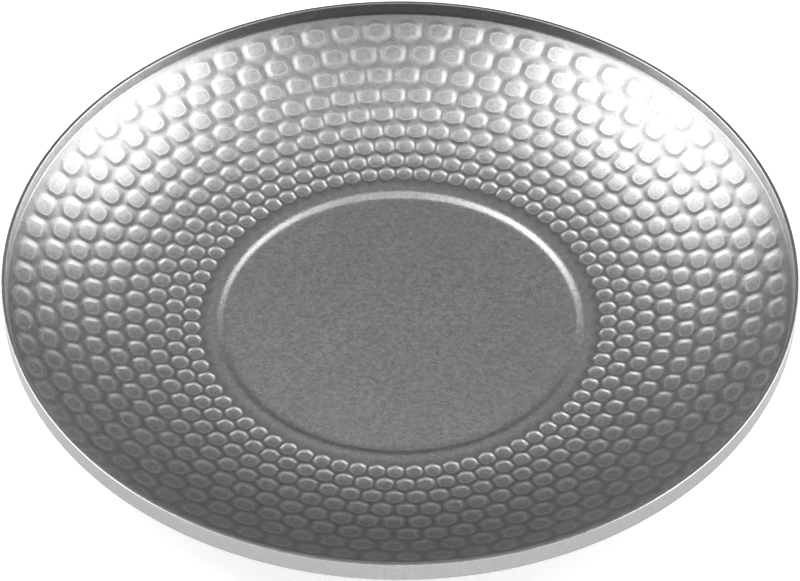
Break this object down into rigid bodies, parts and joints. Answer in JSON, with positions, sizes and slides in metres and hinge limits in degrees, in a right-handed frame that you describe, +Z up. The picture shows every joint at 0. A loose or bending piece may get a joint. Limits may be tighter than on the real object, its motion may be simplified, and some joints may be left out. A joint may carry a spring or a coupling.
{
  "type": "paten plate",
  "caption": "Round shallow satin-metal plate with a smooth sunken well, a dimpled honeycomb wall, a plain upright lip and a thin non-slip pad underneath.",
  "frame": {"origin": "centre of the underside of the base pad, on the surface the plate stands on", "axes": "+Z up, along the plate's axis of turning; the dimple pattern fixes X and Y"},
  "size_m": [0.15, 0.15, 0.0185],
  "materials": {
    "satin_metal": "satin, tumbled grey metal with a slightly polished edge",
    "pad_rubber": "matt"
  },
  "bodies": {
    "root": {"dish": "satin_metal", "base_pad": "pad_rubber"}
  },
  "joints": []
}
